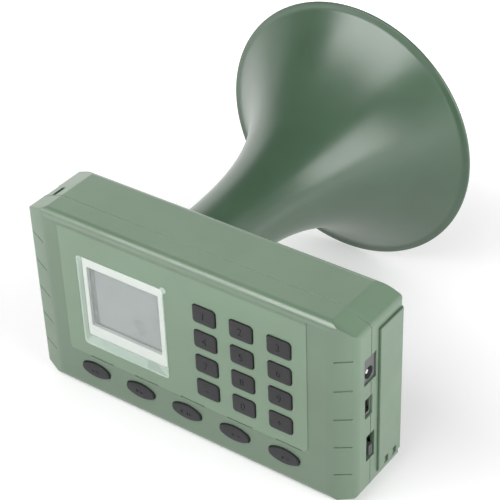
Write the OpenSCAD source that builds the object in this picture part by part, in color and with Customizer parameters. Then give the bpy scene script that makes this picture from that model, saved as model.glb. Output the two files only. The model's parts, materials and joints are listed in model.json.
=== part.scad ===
// Electronic game caller: a keypad case with a trumpet horn loudspeaker on its back.
// Frame: origin at the centre of the case's flat underside, +X to the right as seen
// from the keypad, +Y from the keypad towards the horn's mouth, +Z up. Millimetres.

/* [Case] */
// Width of the case from end to end
body_w = 176; // [172:1:184]
// Height of the case
body_h = 96; // [95:0.5:98]
// Depth of the case from front to back
body_d = 38; // [38:0.5:40]
// Wall thickness of the moulded shells
wall = 2.2; // [2:0.1:2.4]
// Depth of the front cover, up to the seam
front_d = 13.5; // [13.2:0.1:13.8]
// Width of the slanted strip down each end
strip_w = 12; // [10:0.5:13]
// How far each strip falls back at its outer edge
strip_fall = 3.5; // [2.5:0.5:4.5]
// How far the corner facets drop at the ends
facet_drop = 4.7; // [3.5:0.1:5.5]
// Radius along the long front edges
edge_r = 4; // [3:0.5:5]
// Radius along the long back edges
back_r = 3.5; // [2.5:0.5:4]
// Height of the raised island that carries the screen and keys
island_rise = 0.3; // [0.2:0.1:0.5]

/* [Keys] */
// Width of a digit key
key_w = 11.8; // [11:0.1:12.4]
// Height of a digit key
key_h = 8.9; // [8.4:0.1:9.3]
// How far the keys stand proud
key_proud = 1; // [0.8:0.1:1.4]
// Travel of every key
key_travel = 1; // [0.6:0.1:1.1]
// Spacing of the key columns
key_pitch_x = 19.3; // [19:0.1:20]
// Spacing of the key rows
key_pitch_z = 13.6; // [13.4:0.1:13.9]
// Spacing of the oval menu keys
oval_pitch = 26.5; // [25:0.5:27]

/* [Screen] */
// Width of the white screen frame
screen_w = 45.3; // [44:0.1:46]
// Height of the white screen frame
screen_h = 43.2; // [42:0.1:44]
// Width of the visible display
view_w = 40.5; // [39:0.1:41]
// Height of the visible display
view_h = 32.7; // [31:0.1:33]

/* [Horn] */
// Radius of the mouth over its rolled rim
mouth_r = 73.2; // [66:0.2:78]
// Outer radius of the throat
throat_r = 18.1; // [17.5:0.1:19]
// Distance from the back of the case to the mouth
horn_len = 160.5; // [140:0.5:180]
// How late the horn flares: a larger number gives a longer straight neck
flare_power = 3.58; // [3:0.02:4.2]
// Wall thickness of the horn
horn_wall = 1.8; // [1.6:0.1:2.2]
// Distance of the horn's axis from the middle of the case
horn_x = -41; // [-42:0.5:-40]

/* [Battery] */
// Radius of a battery cell
cell_r = 7.1; // [7:0.05:7.2]
// Length of a battery cell with its nub
cell_len = 50.5; // [50:0.1:50.6]
// Spacing of the cells
cell_pitch = 17.6; // [17:0.1:17.8]
// How far the battery door stands proud of the end
door_proud = 1; // [0.6:0.1:1.4]

/* [Hidden] */
$fn = 64;
eps = 0.05;
KEY_COUNT = 12;
OVAL_COUNT = 5;

// Planes of the case
y_front = -body_d / 2;
y_back = body_d / 2;
y_seam = y_front + front_d;
y_inner = y_front + wall;
y_back_in = y_back - wall;
x_end = body_w / 2;
x_end_in = x_end - wall;
y_island = y_front - island_rise;
mid_z = body_h / 2;

// Radii of the strips' inner and outer edges and of the corner facets
strip_in_r = 10;
strip_out_r = 3;
facet_r = 2.5;

// Island
island_w = 133;
island_z0 = 22;
island_z1 = body_h - edge_r;
island_r = 3;
island_x = -1;
dash_len = 13.3;
dash_pitch = 26;
dash_x = 3.7;
dash_w = 1;
dash_deep = 0.6;

// Tick marks on the strips
tick_count = 5;
tick_z = 16.8;
tick_pitch = 15.3;
tick_rise = 3.6;
tick_deep = 0.5;
tick_w = 0.7;

// Depth and width of the groove along the seam
groove = 0.35;

// Keys: columns run from left to right, rows from top to bottom
key_cols = 3;
key_x0 = 13.3;
key_z0 = 74;
key_r = 1.6;
key_gap = 0.35;
flange = 1.4;
flange_y0 = y_inner + 0.3;
flange_t = 1;
oval_z = 14.5;
oval_len = 16;
oval_h = 7.6;
oval_end_r = 2.4;
board_y0 = -12.2;
board_t = 1.6;
board_y1 = board_y0 + board_t;
stem_len = board_y0 - (flange_y0 + flange_t) - key_travel - 0.35;

// Screen
screen_x = -32.15;
screen_z = 56.9;
view_z = 57.75;
film_x = -33.2;
film_z = 54.2;
film_w = 49.2;
film_h = 49.6;
film_t = 0.2;

// Ports in the right end
jack_y = -6;
jack_z = 69.9;
jack_w = 8.4;
jack_h = 12.6;
jack_hole_r = 3.05;
jack_hole_z = 67.8;
usb_y = -7;
usb_z = 50.2;
usb_w = 5;
usb_h = 9.4;
switch_y = -5.3;
switch_z = 27.4;
slot_w = 6.4;
slot_h = 14;
knob_y = -4.5;
knob_z = 24.4;
knob_w = 2.8;
knob_h = 5;
knob_travel = 4.5;

// Screws that join the shells
post_r = 3;
post_x = [-72, 18, 74];
post_z = [6, body_h - 6];
post_y1 = -1;
head_y = 9;

// Board posts
board_post = [[-66, 25], [-66, 81], [68, 40], [68, 81]];

// Battery bay and door
bay_x0 = 25.2;
bay_y0 = 0.6;
bay_z0 = 11;
bay_z1 = 85;
bay_t = 1.4;
tray_t = 1.2;
tray_x0 = bay_x0 + 0.5;
tray_x1 = tray_x0 + cell_len + 2 * tray_t + 0.8 + 4;
tray_y1 = y_back_in - 0.4;
cell_y = tray_y1 - tray_t - cell_r - 0.2;
spring_len = 4;
door_z1 = 86.4;
pivot_x = x_end + door_proud - 2.5;
pivot_z = 10.5;
barrel_r = 2.5;
pin_r = 1;
door_t = 2.8;
door_y0 = 0.6;
lug_y = [6.5, 13];
lug_t = 2.4;

// Driver
driver_r = 33;
driver_z = mid_z;
screw_ring = 30.2;
coil_r = 6.8;
cone_travel = 0.8;

// Horn
y_mouth = y_back + horn_len;
y_foot = y_back + 0.8;
throat_in = throat_r - horn_wall;
throat_len = 10;
bead_r = 1.2;
collar_w = 64;
collar_t = 5;
collar_hole = 27;
foot_r = 22;
foot_t = 2.4;

// Strap slot in the left end
strap_y0 = -4.6;
strap_y1 = 5.2;
strap_z0 = 83.8;
strap_z1 = 88.6;

case_green = [0.42, 0.54, 0.43];
horn_green = [0.27, 0.38, 0.29];
charcoal = [0.13, 0.13, 0.15];
steel = [0.7, 0.7, 0.72];

// ---- shapes shared by several sub-parts ----

// A plate that lies in X and Z, from y0 to y1
module y_plate(y0, y1) {
    translate([0, y1, 0]) rotate([90, 0, 0]) linear_extrude(y1 - y0) children();
}

// A plate that lies in Y and Z, from x0 to x1
module x_plate(x0, x1) {
    translate([x0, 0, 0]) rotate([90, 0, 90]) linear_extrude(x1 - x0) children();
}

// A round bar along +Y
module y_rod(r, y0, y1, x = 0, z = 0) {
    translate([x, y0, z]) rotate([-90, 0, 0]) cylinder(r = r, h = y1 - y0);
}

// A profile of [radius, y] points turned about an axis along +Y
module y_lathe(points, x = horn_x, z = driver_z) {
    translate([x, 0, z]) rotate([-90, 0, 0]) rotate_extrude($fn = 96) polygon(points);
}

// A box between two corners
module block(a, b) {
    translate(a) cube(b - a);
}

module round_rect(w, h, r) {
    square([w - 2 * r, h], center = true);
    square([w, h - 2 * r], center = true);
    for (x = [-1, 1], z = [-1, 1])
        translate([x * (w / 2 - r), z * (h / 2 - r)]) circle(r);
}

// An oval of four tangent arcs
module oval(len, h, end_r) {
    c = len / 2 - end_r;
    side_r = (c * c + h * h / 4 - end_r * end_r) / (h - 2 * end_r);
    tangent_x = c * side_r / (side_r - end_r);
    intersection() {
        translate([0, side_r - h / 2]) circle(side_r, $fn = 128);
        translate([0, h / 2 - side_r]) circle(side_r, $fn = 128);
        square([2 * tangent_x, h], center = true);
    }
    for (x = [-1, 1]) translate([x * c, 0]) circle(end_r);
}

function unit(v) = v / norm(v);

// A polygon with true arcs: radii gives each corner's radius, and 0 leaves it sharp
module rounded_polygon(points, radii) {
    n = len(points);
    function arm(i, step) = unit(points[(i + step + n) % n] - points[i]);
    function half_angle(i) = acos(arm(i, -1) * arm(i, 1)) / 2;
    function tangent(i, step) = points[i] + arm(i, step) * radii[i] / tan(half_angle(i));
    polygon([for (i = [0:n - 1]) each [tangent(i, -1), tangent(i, 1)]]);
    for (i = [0:n - 1])
        if (radii[i] > 0)
            translate(points[i] + unit(arm(i, -1) + arm(i, 1)) * radii[i] / sin(half_angle(i)))
                circle(radii[i], $fn = 96);
}

// Corner radii after an inset of t
function inset_radii(radii, t) = [for (r = radii) max(r - t, 0)];

// Outline seen from the front: a rectangle with four cut corners, inset by t
module front_outline(t) {
    x = x_end - t;
    xc = x_end - strip_w;
    rounded_polygon([
        [-x, facet_drop + t], [-xc, t], [xc, t], [x, facet_drop + t],
        [x, body_h - facet_drop - t], [xc, body_h - t],
        [-xc, body_h - t], [-x, body_h - facet_drop - t]
    ], inset_radii([for (i = [1:8]) facet_r], t));
}

// Outline seen from above: slanted strips at the front corners
module plan_outline(t) {
    x = x_end - t;
    xc = x_end - strip_w;
    radii = [strip_in_r, strip_in_r, strip_out_r, 1.2, 1.2, strip_out_r];
    rounded_polygon([
        [-xc, y_front + t], [xc, y_front + t], [x, y_front + strip_fall + t],
        [x, y_back - t], [-x, y_back - t], [-x, y_front + strip_fall + t]
    ], inset_radii(radii, t));
}

// Outline seen from the end: rounded along the long edges
module end_outline(t) {
    rounded_polygon([
        [y_front + t, t], [y_back - t, t], [y_back - t, body_h - t], [y_front + t, body_h - t]
    ], inset_radii([edge_r, back_r, back_r, edge_r], t));
}

// The case's outer form, inset by t
module case_solid(t) {
    intersection() {
        y_plate(y_front - 1, y_back + 1) front_outline(t);
        linear_extrude(body_h) plan_outline(t);
        x_plate(-x_end, x_end) end_outline(t);
    }
}

module slab(y0, y1) {
    block([-x_end - 5, y0, -5], [x_end + 5, y1, body_h + 5]);
}

module key_place(i) {
    col = (i - 1) % key_cols;
    row = floor((i - 1) / key_cols);
    translate([key_x0 + col * key_pitch_x, 0, key_z0 - row * key_pitch_z]) children();
}

module oval_place(i) {
    translate([(i - (OVAL_COUNT + 1) / 2) * oval_pitch, 0, oval_z]) children();
}

module post_places() {
    for (x = post_x, z = post_z) translate([x, 0, z]) children();
}

module board_post_places() {
    for (p = board_post) translate([p[0], 0, p[1]]) children();
}

// Openings for the jack, the data port and the switch, through both shells
module port_cuts() {
    x0 = x_end_in - 0.6;
    x1 = x_end + 1;
    x_plate(x0, x1) translate([jack_y, jack_z]) square([jack_w + 0.7, jack_h + 0.8], center = true);
    x_plate(x0, x1) translate([usb_y, usb_z]) round_rect(usb_w + 0.7, usb_h + 1.4, 1);
    x_plate(x0, x1) translate([switch_y, switch_z]) square([slot_w, slot_h], center = true);
}

// Four places on a square about the horn's axis
module horn_square(half) {
    for (x = [-1, 1], z = [-1, 1])
        translate([horn_x + x * half, 0, driver_z + z * half]) children();
}

// ---- case ----

module strip_ticks() {
    slant = atan(strip_fall / strip_w);
    for (side = [0, 1], i = [0:tick_count - 1])
        mirror([side, 0, 0])
            translate([x_end - strip_w / 2, y_front + strip_fall / 2, tick_z + i * tick_pitch])
            rotate([0, 0, slant])
            rotate([0, -atan(tick_rise / strip_w), 0])
            cube([strip_w - 3.5, 2 * tick_deep, tick_w], center = true);
}

module island() {
    h = island_z1 - island_z0;
    y_plate(y_island, y_inner) translate([island_x, island_z0 + h / 2]) {
        round_rect(island_w, h, island_r);
        translate([0, h / 4]) square([island_w, h / 2], center = true);
    }
}

module island_dashes() {
    for (i = [-2:2])
        translate([dash_x + i * dash_pitch, y_island, island_z0])
            cube([dash_len, 2 * dash_deep + island_rise, dash_w], center = true);
}

module front_cover() color(case_green) {
    difference() {
        union() {
            difference() {
                intersection() {
                    case_solid(0);
                    slab(y_front - 1, y_seam);
                }
                intersection() {
                    case_solid(wall);
                    slab(y_inner, y_seam + 1);
                }
            }
            island();
            post_places() y_rod(post_r, y_inner - eps, post_y1);
            board_post_places() y_rod(2.5, y_inner - eps, board_y0);
        }
        for (i = [1:KEY_COUNT])
            key_place(i) y_plate(y_island - 1, y_inner + 1)
                round_rect(key_w + 2 * key_gap, key_h + 2 * key_gap, key_r + key_gap);
        for (i = [1:OVAL_COUNT])
            oval_place(i) y_plate(y_island - 1, y_inner + 1)
                oval(oval_len + 2 * key_gap, oval_h + 2 * key_gap, oval_end_r + key_gap);
        y_plate(y_island - 1, y_inner + 1)
            translate([screen_x, screen_z]) round_rect(screen_w, screen_h, 0.8);
        post_places() y_rod(1.3, post_y1 - 9, post_y1 + 1);
        board_post_places() y_rod(1.05, y_inner + 0.6, board_y0 + 1);
        strip_ticks();
        island_dashes();
        port_cuts();
    }
}

// Fine groove that marks the joint between the shells
module seam_groove() {
    difference() {
        slab(y_seam - 1, y_seam + groove);
        case_solid(groove);
    }
}

module battery_bay_walls() {
    difference() {
        block([bay_x0 - bay_t, bay_y0 - bay_t, bay_z0 - bay_t], [x_end_in + eps, y_back_in + eps, bay_z1 + bay_t]);
        block([bay_x0, bay_y0, bay_z0], [x_end + 1, y_back_in + 1, bay_z1]);
    }
}

module door_recess() {
    gap = 0.4;
    block([x_end_in - eps, door_y0 - gap, pivot_z], [x_end + 3, y_back + 1, door_z1 + gap]);
    y_rod(barrel_r + 0.4, door_y0 - gap, y_back + 1, pivot_x, pivot_z);
}

module hinge_lugs() {
    for (y = lug_y) {
        y_rod(barrel_r - 0.1, y - lug_t / 2, y + lug_t / 2, pivot_x, pivot_z);
        block([pivot_x - 4, y - lug_t / 2, pivot_z - 4], [pivot_x, y + lug_t / 2, pivot_z]);
        block([pivot_x - 1, y - lug_t / 2, pivot_z - 4], [pivot_x + 1, y + lug_t / 2, pivot_z]);
    }
}

module strap_block() {
    intersection() {
        case_solid(0);
        block([-x_end - 1, y_seam, strap_z0 - 1.6], [-x_end + 10, strap_y1 + 1.6, body_h]);
    }
}

module strap_cut() {
    block([-x_end - 1, strap_y0, strap_z0], [-x_end + 7.6, strap_y1, strap_z1]);
    block([-x_end - 1, strap_y0, strap_z0], [-x_end + 1.7, strap_y1, body_h + 1]);
    block([-x_end + 5.4, strap_y0, strap_z0], [-x_end + 7.6, strap_y1 - 2.5, body_h + 1]);
}

module rear_casing() color(case_green) {
    difference() {
        union() {
            difference() {
                intersection() {
                    case_solid(0);
                    slab(y_seam, y_back + 1);
                }
                intersection() {
                    case_solid(wall);
                    slab(y_seam - 1, y_back_in);
                }
            }
            post_places() y_rod(4, post_y1 + eps, y_back_in + eps);
            battery_bay_walls();
            strap_block();
        }
        post_places() y_rod(1.5, post_y1 - 1, y_back);
        post_places() y_rod(2.9, head_y - 2, y_back + 1);
        difference() {
            door_recess();
            hinge_lugs();
        }
        block([bay_x0, bay_y0, bay_z0 + 3], [x_end + 1, y_back_in, bay_z1]);
        y_rod(pin_r, door_y0 - 1, y_back - 1, pivot_x, pivot_z);
        y_rod(throat_in, y_back_in - 1, y_back + 1, horn_x, driver_z);
        horn_square(collar_hole) y_rod(1.25, y_back_in - 1, y_back + 1);
        strap_cut();
        port_cuts();
        seam_groove();
    }
}

module case_screws() color(steel) {
    post_places() {
        difference() {
            y_rod(2.5, head_y - 2, head_y - 0.2);
            y_plate(head_y - 1.2, head_y) square([3.2, 0.7], center = true);
            y_plate(head_y - 1.2, head_y) square([0.7, 3.2], center = true);
        }
        y_rod(1.25, post_y1 - 8.5, head_y - 2);
    }
}

// ---- screen ----

module screen_frame() color("white") {
    difference() {
        y_plate(y_island + 0.1, y_inner)
            translate([screen_x, screen_z]) round_rect(screen_w - 0.3, screen_h - 0.3, 0.7);
        y_plate(y_island - 1, y_inner + 1)
            translate([screen_x, view_z]) square([view_w, view_h], center = true);
    }
}

module display_lens() color([0.8, 0.85, 0.85, 0.4]) {
    y_plate(y_island + 0.2, y_island + 0.8)
        translate([screen_x, view_z]) square([view_w - 0.2, view_h - 0.2], center = true);
}

module display_module() color([0.55, 0.58, 0.56]) {
    y_plate(y_inner, board_y0 - 0.2)
        translate([screen_x, screen_z]) square([screen_w + 2, screen_h + 1.4], center = true);
    y_plate(y_island + 1.5, y_inner)
        translate([screen_x, view_z]) square([view_w - 0.6, view_h - 0.6], center = true);
}

module protective_film() color([0.8, 0.95, 0.88, 0.3]) {
    y_plate(y_island - film_t, y_island) {
        translate([film_x, film_z]) round_rect(film_w, film_h, 0.8);
        translate([film_x + film_w / 2 + 0.2, film_z + film_h / 2]) circle(1.6);
    }
}

// ---- keys and board ----

module key_solid(clear) {
    y_plate(y_island - key_proud, flange_y0 + eps) children(0);
    y_plate(flange_y0, flange_y0 + flange_t) children(1);
    y_plate(flange_y0 + flange_t - eps, flange_y0 + flange_t + stem_len) round_rect(6, 4.6, 1);
}

module digit_key(i) color(charcoal) {
    key_place(i) key_solid() {
        round_rect(key_w, key_h, key_r);
        round_rect(key_w + 2 * flange, key_h + 2 * flange, key_r);
    }
}

module menu_key(i) color(charcoal) {
    oval_place(i) key_solid() {
        oval(oval_len, oval_h, oval_end_r);
        oval(oval_len + 2 * flange, oval_h + 2 * flange, oval_end_r + flange);
    }
}

// Silicone web that fills the space round the keys' flanges
module keypad_mat() color(charcoal) {
    mid_x = key_x0 + key_pitch_x;
    mid_key_z = key_z0 - 1.5 * key_pitch_z;
    difference() {
        union() {
            y_plate(y_inner, y_inner + 1.2) translate([mid_x, mid_key_z])
                round_rect(3 * key_pitch_x, 4 * key_pitch_z - 0.4, 2);
            y_plate(y_inner, y_inner + 1.2) translate([0, oval_z - 0.2])
                round_rect(5 * oval_pitch - 2, 12.4, 2);
        }
        for (i = [1:KEY_COUNT])
            key_place(i) y_plate(y_inner - 1, y_inner + 2)
                round_rect(key_w + 2 * flange + 0.6, key_h + 2 * flange + 0.6, key_r);
        for (i = [1:OVAL_COUNT])
            oval_place(i) y_plate(y_inner - 1, y_inner + 2)
                oval(oval_len + 2 * flange + 0.8, oval_h + 2 * flange + 0.8, oval_end_r + flange);
        post_places() y_rod(post_r + 0.4, y_inner - 1, y_inner + 2);
    }
}

module key_contacts() color("goldenrod") {
    for (i = [1:KEY_COUNT]) key_place(i) y_rod(2.6, board_y0 - 0.15, board_y0);
    for (i = [1:OVAL_COUNT]) oval_place(i) y_rod(2.6, board_y0 - 0.15, board_y0);
}

module main_board() color([0.1, 0.35, 0.2]) {
    difference() {
        block([-74, board_y0, 9.8], [82, board_y1, body_h - 9.8]);
        board_post_places() y_rod(1.2, board_y0 - 1, board_y1 + 1);
    }
}

// Processor, memory and amplifier chips
module board_chips() color(charcoal) {
    block([-30, board_y1, 14], [-16, board_y1 + 1.4, 28]);
    block([-50, board_y1, 15], [-42, board_y1 + 1.2, 20]);
    block([-4, board_y1, 14], [4, board_y1 + 1.2, 20]);
    block([2, board_y1, 40], [14, board_y1 + 2, 56]);
}

module board_capacitors() color([0.15, 0.2, 0.4]) {
    for (p = [[6, 30, 4], [6, 66, 4], [48, 30, 3.2], [48, 70, 3.2]])
        y_rod(p[2], board_y1, board_y1 + 2 * p[2], p[0], p[1]);
}

// Finned heat sink on the amplifier chip
module heat_sink() color(steel) {
    block([0, board_y1 + 2, 39], [16, board_y1 + 4, 57]);
    for (i = [0:5])
        block([0.4 + i * 2.8, board_y1 + 4 - eps, 39], [1.6 + i * 2.8, board_y1 + 12, 57]);
}

module board_screws() color(steel) {
    board_post_places() {
        y_rod(2.2, board_y1, board_y1 + 1.4);
        y_rod(1, y_inner + 0.9, board_y1);
    }
}

// ---- ports and switch ----

module dc_jack() color([0.3, 0.31, 0.33]) {
    difference() {
        x_plate(x_end - 14.5, x_end - 0.7)
            translate([jack_y, jack_z]) square([jack_w, jack_h], center = true);
        x_plate(x_end - 10.5, x_end)
            translate([jack_y - 0.2, jack_hole_z]) circle(jack_hole_r);
    }
    block([x_end - 14.5, board_y1, jack_z - 5], [x_end - 7, jack_y - jack_w / 2 + eps, jack_z + 5]);
}

module dc_jack_pin() color(steel) {
    x_plate(x_end - 10.5, x_end - 1.6) translate([jack_y - 0.2, jack_hole_z]) circle(1.05);
}

module usb_port() color(steel) {
    difference() {
        union() {
            x_plate(x_end - 9.5, x_end - 1.8)
                translate([usb_y, usb_z]) round_rect(usb_w - 0.8, usb_h - 1.4, 0.7);
            x_plate(x_end - 1.8, x_end - 1)
                translate([usb_y, usb_z]) round_rect(usb_w, usb_h, 0.9);
        }
        x_plate(x_end - 9, x_end)
            translate([usb_y, usb_z]) round_rect(usb_w - 1.5, usb_h - 2.1, 0.6);
    }
    block([x_end - 9.5, board_y1, usb_z - 3], [x_end - 3.5, usb_y - usb_w / 2 + 0.5, usb_z + 3]);
}

module usb_tongue() color(charcoal) {
    block([x_end - 9, usb_y - 0.2, usb_z - 2.6], [x_end - 2.6, usb_y + 0.9, usb_z + 2.6]);
}

module switch_body() color(charcoal) {
    difference() {
        block([x_end - 11, board_y1, switch_z - 9.5], [x_end - 3.6, -1.6, switch_z + 9.5]);
        block([x_end - 7, knob_y - knob_w / 2 - 0.3, knob_z - knob_h / 2 - 0.3],
            [x_end, knob_y + knob_w / 2 + 0.3, knob_z + knob_h / 2 + knob_travel + 0.3]);
    }
}

module switch_slider() color([0.3, 0.31, 0.32]) {
    difference() {
        block([x_end - 6.7, knob_y - knob_w / 2, knob_z - knob_h / 2],
            [x_end - 0.4, knob_y + knob_w / 2, knob_z + knob_h / 2]);
        for (i = [-1:1])
            block([x_end - 0.8, knob_y - knob_w, knob_z + i * 1.3 - 0.25],
                [x_end, knob_y + knob_w, knob_z + i * 1.3 + 0.25]);
    }
}

// ---- battery compartment ----

module battery_door() color(case_green) {
    difference() {
        union() {
            block([x_end_in + 0.3, door_y0, pivot_z], [x_end + door_proud, y_back - 0.05, door_z1]);
            y_rod(barrel_r, door_y0, y_back - 0.05, pivot_x, pivot_z);
            block([x_end_in - 1.6, 4, bay_z1 - 2.2], [x_end_in + 0.4, 14, bay_z1 - 0.5]);
        }
        for (y = lug_y)
            block([pivot_x - 4, y - lug_t / 2 - 0.3, pivot_z - 4],
                [x_end + 3, y + lug_t / 2 + 0.3, pivot_z + barrel_r + 0.5]);
        y_rod(pin_r + 0.06, door_y0 - 1, y_back + 1, pivot_x, pivot_z);
        translate([x_end + door_proud, y_back, -1]) rotate([0, 0, 45])
            cube([1.6, 1.6, 2 * (body_h + 2)], center = true);
    }
}

module door_hinge_pin() color(steel) {
    y_rod(pin_r, door_y0 - 0.8, y_back - 1.2, pivot_x, pivot_z);
}

module cell_places() {
    for (i = [0:3]) {
        flip = i % 2;
        translate([(tray_x0 + tray_x1) / 2, cell_y, mid_z + (i - 1.5) * cell_pitch])
            mirror([flip, 0, 0]) children();
    }
}

module battery_tray() color(charcoal) {
    z0 = mid_z - 2 * cell_pitch - 0.6;
    z1 = mid_z + 2 * cell_pitch + 0.6;
    block([tray_x0, tray_y1 - tray_t, z0], [tray_x1, tray_y1, z1]);
    for (x = [tray_x0, tray_x1 - tray_t])
        block([x, bay_y0 + 0.5, z0], [x + tray_t, tray_y1, z1]);
    for (i = [0:4]) {
        z = mid_z + (i - 2) * cell_pitch;
        block([tray_x0, cell_y + 1, z - 0.6], [tray_x1, tray_y1, z + 0.6]);
    }
}

module battery_cells() color([0.2, 0.25, 0.35]) {
    half = (tray_x1 - tray_x0) / 2 - tray_t - 0.4;
    cell_places() rotate([0, 90, 0]) {
        translate([0, 0, half - cell_len]) cylinder(r = cell_r, h = cell_len - 1);
        translate([0, 0, half - 1 - eps]) cylinder(r = 2.6, h = 1 + eps);
    }
}

module battery_contacts() color(steel) {
    half = (tray_x1 - tray_x0) / 2 - tray_t;
    cell_places() for (x = [-half, half - 0.4])
        block([x, -5, -5], [x + 0.4, 5, 5]);
}

// Contact springs, drawn as their separate turns
module battery_springs() color(steel) {
    half = (tray_x1 - tray_x0) / 2 - tray_t - 0.4;
    cell_places() rotate([0, 90, 0]) for (i = [0:2])
        translate([0, 0, -half + 0.45 + i * (spring_len - 0.9) / 2])
            rotate_extrude() translate([5 - i * 0.8, 0]) circle(0.4, $fn = 16);
}

// ---- driver ----

module driver_frame() color([0.25, 0.25, 0.26]) {
    difference() {
        y_lathe([
            [9, 4.2], [17.6, 4.2], [27.4, 13.4], [driver_r, 13.4], [driver_r, 15.8],
            [27.6, 15.8], [26.4, 14.6], [16.9, 5.4], [9, 5.4]
        ]);
        horn_square(screw_ring / sqrt(2)) y_rod(1.5, 12, 17);
    }
}

module driver_top_plate() color(steel) {
    y_lathe([[7.5, 2.2], [15, 2.2], [15, 4.2], [7.5, 4.2]]);
}

module driver_magnet() color([0.22, 0.22, 0.23]) {
    y_lathe([[9, -2.6], [16, -2.6], [16, 2.2], [9, 2.2]]);
}

module driver_yoke() color(steel) {
    y_lathe([[0, -4.8], [15.4, -4.8], [15.4, -2.6], [6.2, -2.6], [6.2, 3.4], [0, 3.4]]);
}

module driver_gasket() color(charcoal) {
    difference() {
        y_lathe([[27.8, 15.8], [driver_r - 0.3, 15.8], [driver_r - 0.3, y_back_in], [27.8, y_back_in]]);
        horn_square(screw_ring / sqrt(2)) y_rod(1.5, 12, 18);
    }
}

// Paper cone with its dust cap
module driver_cone() color([0.16, 0.16, 0.16]) {
    y_lathe([
        [0, 10.6], [4, 10.3], [7.2, 9], [7.2, 8], [8, 8],
        [24, 13.2], [24, 14.2], [8, 9.2], [7.2, 10], [4, 11.3], [0, 11.6]
    ]);
}

module voice_coil() color([0.7, 0.4, 0.2]) {
    y_lathe([[coil_r - 0.25, -1], [coil_r + 0.25, -1], [coil_r + 0.25, 9], [coil_r - 0.25, 9]]);
}

module driver_screws() color(steel) {
    horn_square(screw_ring / sqrt(2)) {
        y_rod(2.3, 12, 13.4);
        y_rod(1.2, 13.4, y_back_in);
    }
}

// ---- horn ----

// Outer radius of the horn at a distance s from 0 at the foot to 1 at the mouth
function horn_r(s) = throat_r + (mouth_r - throat_r) * pow(s, flare_power);
function horn_y(s) = y_foot + (y_mouth - y_foot) * s;
HORN_STEPS = 30;

module horn_bell() color(horn_green) {
    outer = [for (i = [0:HORN_STEPS]) let (s = i / HORN_STEPS) [horn_r(s), horn_y(s)]];
    flared = [for (i = [HORN_STEPS:-1:3]) let (s = i / HORN_STEPS)
        [horn_r(s) - horn_wall * (1 + 0.6 * pow(s, 3)), horn_y(s)]];
    straight = [[throat_in, y_foot + throat_len], [throat_in, y_foot]];
    y_lathe(concat(outer, flared, straight));
    y_lathe([[throat_r - 0.5, y_foot], [foot_r, y_foot], [foot_r, y_foot + foot_t],
        [throat_r - 0.5, y_foot + foot_t]]);
    translate([horn_x, y_mouth - bead_r, driver_z]) rotate([-90, 0, 0])
        rotate_extrude($fn = 96) translate([mouth_r - bead_r, 0]) circle(bead_r, $fn = 24);
}

module horn_gasket() color(charcoal) {
    y_lathe([[throat_in, y_back], [foot_r + 2, y_back], [foot_r + 2, y_foot],
        [throat_in, y_foot]]);
}

// Square collar that clamps the horn's foot to the case
module horn_collar() color(horn_green) {
    difference() {
        y_plate(y_back, y_back + collar_t)
            translate([horn_x, driver_z]) round_rect(collar_w, collar_w, 6);
        y_rod(throat_r + 0.4, y_back - 1, y_back + collar_t + 1, horn_x, driver_z);
        y_rod(foot_r + 2.1, y_back - 1, y_foot, horn_x, driver_z);
        y_rod(foot_r + 0.2, y_back, y_foot + foot_t + 0.05, horn_x, driver_z);
        horn_square(collar_hole) y_rod(1.5, y_back - 1, y_back + collar_t + 1);
    }
}

module collar_screws() color(steel) {
    top = y_back + collar_t;
    horn_square(collar_hole) {
        difference() {
            y_rod(2.7, top, top + 1.6);
            y_plate(top + 0.7, top + 2) square([3.4, 0.7], center = true);
            y_plate(top + 0.7, top + 2) square([0.7, 3.4], center = true);
        }
        y_rod(1.2, y_back_in, top);
    }
}

// ---- wires held inside the case ----

LEAD_SIDES = 8;
speaker_route = [
    [-20, 6.5, 40], [-17, 5.5, 38], [-13, 3, 36], [-9, -1, 35],
    [-5, -5, 35.5], [-2, -8, 36.5], [-1.4, -9.6, 36.8], [-1.4, board_y1 + 0.05, 36.8]
];
battery_route = [
    [bay_x0 - bay_t - 0.1, 3, 76], [22, 2.8, 76], [19.6, 0, 76],
    [17.6, -4, 75.5], [17, -8, 75], [17, board_y1 + 0.05, 75]
];

function along(p, i) = unit(p[min(i + 1, len(p) - 1)] - p[max(i - 1, 0)]);
function ring(p, i, r) =
    let (t = along(p, i), a = unit(cross(t, [0.2, 0.1, 1])), b = cross(a, t))
    [for (k = [0:LEAD_SIDES - 1]) let (w = 360 * k / LEAD_SIDES) p[i] + r * (a * cos(w) + b * sin(w))];

module lead(p, r) {
    n = len(p);
    m = LEAD_SIDES;
    points = [for (i = [0:n - 1]) each ring(p, i, r)];
    sides = [for (i = [0:n - 2], k = [0:m - 1])
        [i * m + k, i * m + (k + 1) % m, (i + 1) * m + (k + 1) % m, (i + 1) * m + k]];
    ends = [[for (k = [m - 1:-1:0]) k], [for (k = [0:m - 1]) (n - 1) * m + k]];
    polyhedron(points, concat(sides, ends));
}

module speaker_leads() color("firebrick") {
    lead(speaker_route, 0.7);
    translate([0, 0, -2.2]) lead(speaker_route, 0.7);
}

module battery_leads() color("firebrick") {
    lead(battery_route, 0.7);
    translate([0, 0, -2.2]) lead(battery_route, 0.7);
}

front_cover();
rear_casing();
case_screws();
screen_frame();
display_lens();
display_module();
protective_film();
keypad_mat();
key_contacts();
main_board();
board_chips();
board_capacitors();
heat_sink();
board_screws();
dc_jack();
dc_jack_pin();
usb_port();
usb_tongue();
switch_body();
switch_slider();
battery_door();
door_hinge_pin();
battery_tray();
battery_cells();
battery_contacts();
battery_springs();
battery_leads();
driver_frame();
driver_top_plate();
driver_magnet();
driver_yoke();
driver_gasket();
driver_cone();
voice_coil();
driver_screws();
speaker_leads();
horn_bell();
horn_gasket();
horn_collar();
collar_screws();
for (i = [1:KEY_COUNT])
    digit_key(i);
for (i = [1:OVAL_COUNT])
    menu_key(i);
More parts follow.
